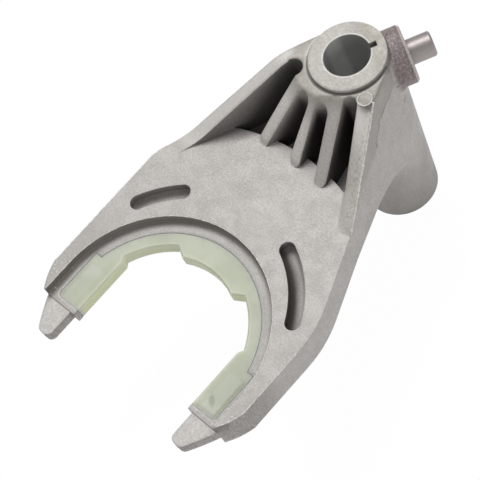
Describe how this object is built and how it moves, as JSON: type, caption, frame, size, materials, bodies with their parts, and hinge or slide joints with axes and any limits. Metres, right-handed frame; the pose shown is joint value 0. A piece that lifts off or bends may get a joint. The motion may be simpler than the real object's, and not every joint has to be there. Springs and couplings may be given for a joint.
{
  "type": "transfer case range fork",
  "caption": "Cast aluminium shift fork for a transfer case's range sleeve, with a nylon-lined jaw, a long bored hub and a steel follower pin.",
  "frame": {"origin": "on the axis of the shift rail's bore, at the middle of the fork plate's thickness", "axes": "+Z along the bore towards the ringed end of the hub, -Y towards the jaw's open end, +X to the side that the follower pin leans to"},
  "size_m": [0.0922, 0.1563, 0.0878],
  "materials": {
    "cast_aluminium": "as cast, fine sandy matte; ring face and bore machined",
    "nylon": "natural moulded nylon, satin, slightly translucent",
    "ground_steel": "ground, satin"
  },
  "bodies": {
    "root": {"fork_casting": "cast_aluminium", "jaw_liner": "nylon", "follower_pin": "ground_steel"}
  },
  "joints": []
}
